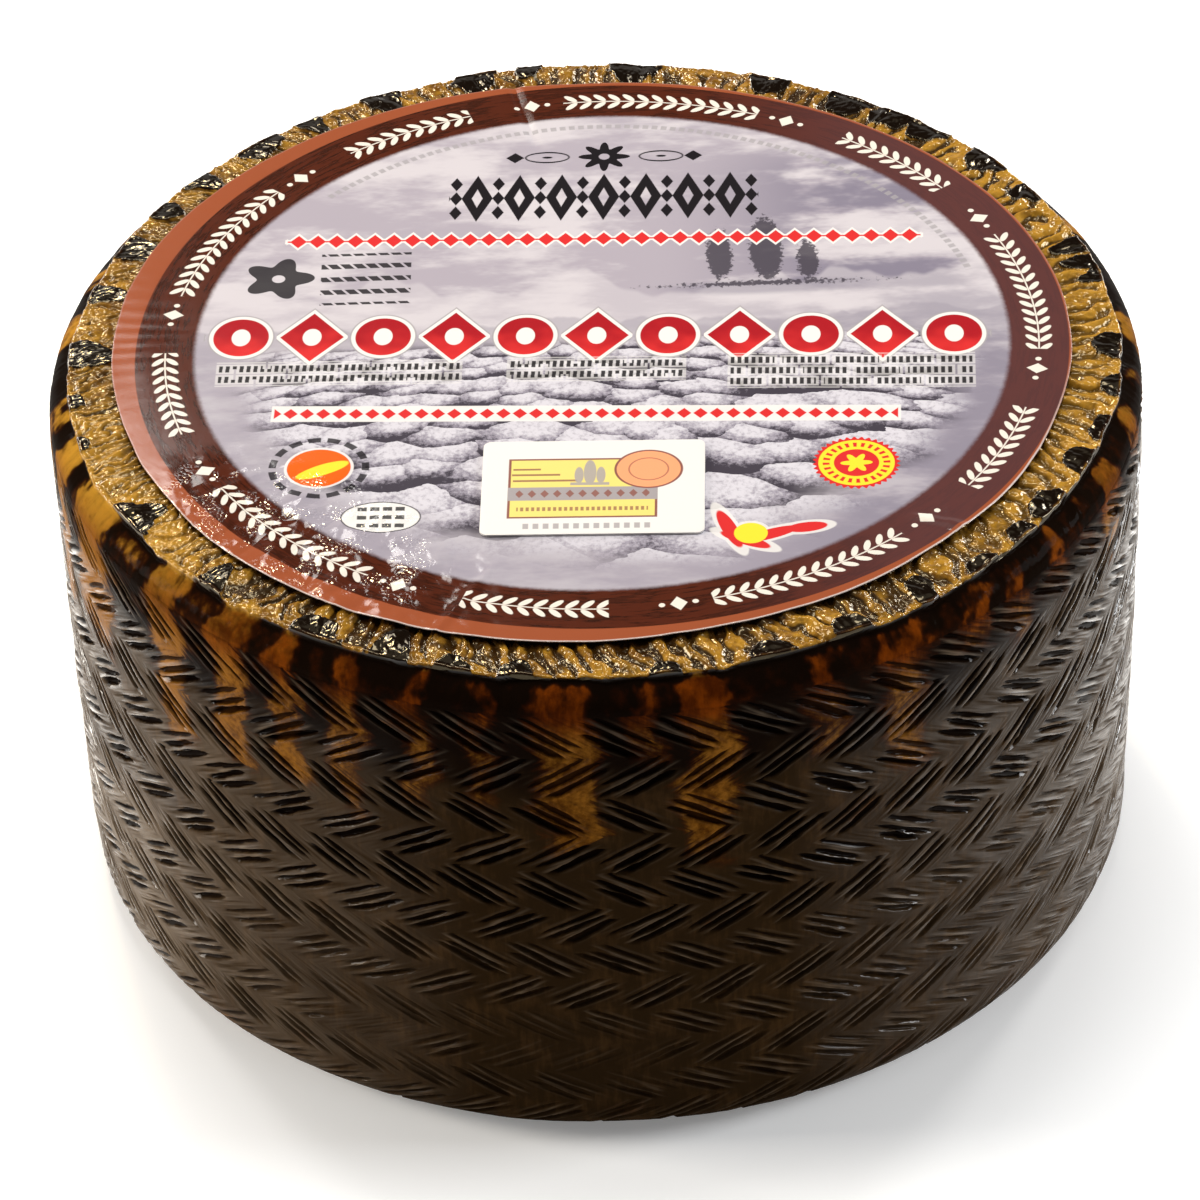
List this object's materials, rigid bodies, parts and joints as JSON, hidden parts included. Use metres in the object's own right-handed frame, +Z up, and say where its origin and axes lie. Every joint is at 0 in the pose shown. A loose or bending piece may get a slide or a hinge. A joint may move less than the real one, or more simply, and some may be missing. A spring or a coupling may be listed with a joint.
{
  "type": "whole wheel of aged sheep's milk cheese",
  "caption": "Whole wheel of aged sheep's milk cheese with a dark glossy basket-print rind, a round paper label and a small white sticker on top.",
  "frame": {"origin": "centre of the flat base, on the surface that the wheel rests on", "axes": "+Z up along the wheel's axis, -Y towards the side that the sticker is on, +X to that side's right"},
  "size_m": [0.1966, 0.1966, 0.105],
  "materials": {
    "rind": "dark brown lacquered rind over ochre, glossy",
    "label": "glossy laminated printed paper",
    "sticker": "glossy white sticker with simple printed fields"
  },
  "bodies": {
    "root": {"rind": "rind", "label": "label", "sticker": "sticker"}
  },
  "joints": []
}
